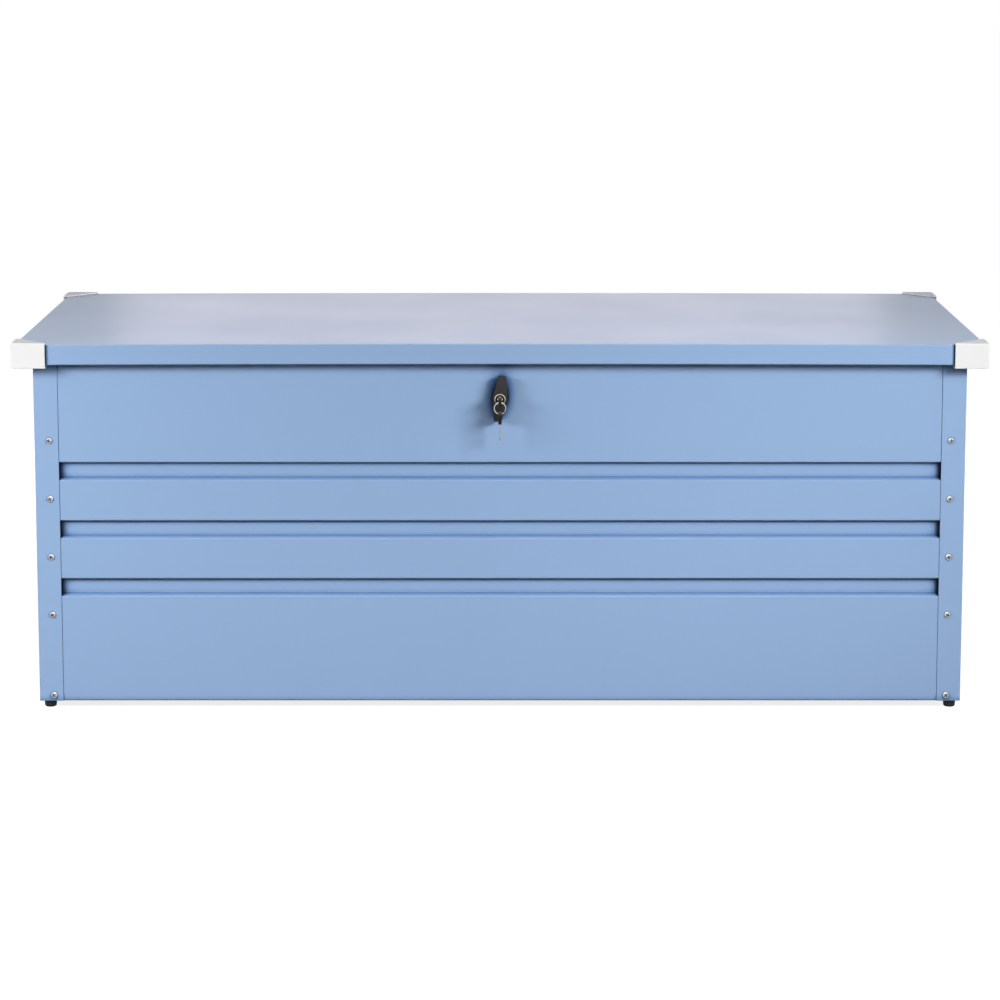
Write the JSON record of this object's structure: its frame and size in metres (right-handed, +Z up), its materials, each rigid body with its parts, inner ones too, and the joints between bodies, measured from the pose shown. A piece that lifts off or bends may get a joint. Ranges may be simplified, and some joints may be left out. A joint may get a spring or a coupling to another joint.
{
  "type": "deck storage box",
  "caption": "Long low steel chest on short feet with ribbed walls, corner posts, an overhanging hinged lid with corner caps, gas struts and a turn-handle lock.",
  "frame": {"origin": "on the ground under the middle of the lid", "axes": "+X to the right along the length, +Y to the back where the hinges are, +Z up; the front with the lock faces -Y"},
  "size_m": [1.65, 0.7149, 0.6391],
  "materials": {
    "body_paint": "satin light blue powder coat",
    "cap_plastic": "moulded white plastic",
    "black_plastic": "moulded black plastic",
    "foot_plastic": "moulded black plastic",
    "zinc_steel": "bright zinc plate",
    "hinge_steel": "zinc-plated steel",
    "strut_paint": "black paint",
    "rod_chrome": "hard chrome",
    "lock_chrome": "bright chrome plate",
    "key_steel": "nickel-plated blade with a black moulded bow"
  },
  "bodies": {
    "root": {"front_panel": "body_paint", "back_panel": "body_paint", "left_panel": "body_paint", "right_panel": "body_paint", "front_left_post": "body_paint", "front_right_post": "body_paint", "back_left_post": "body_paint", "back_right_post": "body_paint", "floor_left": "body_paint", "floor_middle": "body_paint", "floor_right": "body_paint", "foot_brackets": "zinc_steel", "foot_nuts": "zinc_steel", "front_left_foot": "foot_plastic", "front_right_foot": "foot_plastic", "back_left_foot": "foot_plastic", "back_right_foot": "foot_plastic", "wall_screws": "zinc_steel", "wall_nuts": "zinc_steel", "body_fitting_screws": "zinc_steel", "left_hinge_body_leaf": "hinge_steel", "right_hinge_body_leaf": "hinge_steel", "hinge_pins": "hinge_steel", "left_strut_body_bracket": "zinc_steel", "right_strut_body_bracket": "zinc_steel", "lock_rosette": "black_plastic", "lock_nut": "zinc_steel"},
    "lid": {"lid_panel": "body_paint", "lid_rib_left": "body_paint", "lid_rib_middle": "body_paint", "lid_rib_right": "body_paint", "lid_fitting_screws": "zinc_steel", "front_left_cap": "cap_plastic", "front_right_cap": "cap_plastic", "back_left_cap": "cap_plastic", "back_right_cap": "cap_plastic", "left_hinge_lid_leaf": "hinge_steel", "right_hinge_lid_leaf": "hinge_steel", "left_strut_lid_bracket": "zinc_steel", "right_strut_lid_bracket": "zinc_steel", "lock_striker": "zinc_steel"},
    "handle": {"lock_handle": "black_plastic", "lock_bezel": "lock_chrome", "lock_cam": "zinc_steel", "cam_bolt": "zinc_steel"},
    "key": {"lock_plug": "lock_chrome", "lock_key": "key_steel"},
    "ring": {"key_ring": "lock_chrome"},
    "spare": {"spare_key": "key_steel"},
    "left_strut_outer": {"left_strut_lower_socket": "strut_paint", "left_strut_cylinder": "strut_paint"},
    "left_strut_inner": {"left_strut_rod": "rod_chrome", "left_strut_upper_socket": "strut_paint"},
    "right_strut_outer": {"right_strut_lower_socket": "strut_paint", "right_strut_cylinder": "strut_paint"},
    "right_strut_inner": {"right_strut_rod": "rod_chrome", "right_strut_upper_socket": "strut_paint"}
  },
  "joints": [
    {"name": "lid_hinge", "type": "hinge", "parent": "root", "child": "lid", "pos_m": [0, 0.3385, 0.5954], "axis": [-1, 0, 0], "range_deg": [0, 80]},
    {"name": "left_strut_swing", "type": "hinge", "parent": "root", "child": "left_strut_outer", "pos_m": [-0.758, 0.2925, 0.5354], "axis": [-1, 0, 0], "range_deg": [0, 74.98]},
    {"name": "left_strut_slide", "type": "slide", "parent": "left_strut_outer", "child": "left_strut_inner", "axis": [0, -0.9595, 0.2818], "range_m": [0, 0.09344]},
    {"name": "right_strut_swing", "type": "hinge", "parent": "root", "child": "right_strut_outer", "pos_m": [0.758, 0.2925, 0.5354], "axis": [-1, 0, 0], "range_deg": [0, 74.98]},
    {"name": "right_strut_slide", "type": "slide", "parent": "right_strut_outer", "child": "right_strut_inner", "axis": [0, -0.9595, 0.2818], "range_m": [0, 0.09344]},
    {"name": "handle_turn", "type": "hinge", "parent": "root", "child": "handle", "pos_m": [0, -0.3163, 0.542], "axis": [0, 1, 0], "range_deg": [0, 90]},
    {"name": "key_turn", "type": "hinge", "parent": "handle", "child": "key", "pos_m": [0, -0.3396, 0.542], "axis": [0, 1, 0], "range_deg": [0, 90]},
    {"name": "ring_swing", "type": "hinge", "parent": "key", "child": "ring", "pos_m": [0, -0.3554, 0.542], "axis": [1, 0, 0], "range_deg": [-50, 10]},
    {"name": "spare_key_swing", "type": "hinge", "parent": "ring", "child": "spare", "pos_m": [0, -0.3554, 0.51663], "axis": [1, 0, 0], "range_deg": [-40, 12]}
  ],
  "couplings": [
    {"joint": "left_strut_swing", "follows": "lid_hinge", "ratio": 0.93698},
    {"joint": "left_strut_slide", "follows": "lid_hinge", "m_per_rad": 0.066853},
    {"joint": "right_strut_swing", "follows": "lid_hinge", "ratio": 0.93698},
    {"joint": "right_strut_slide", "follows": "lid_hinge", "m_per_rad": 0.066853}
  ]
}
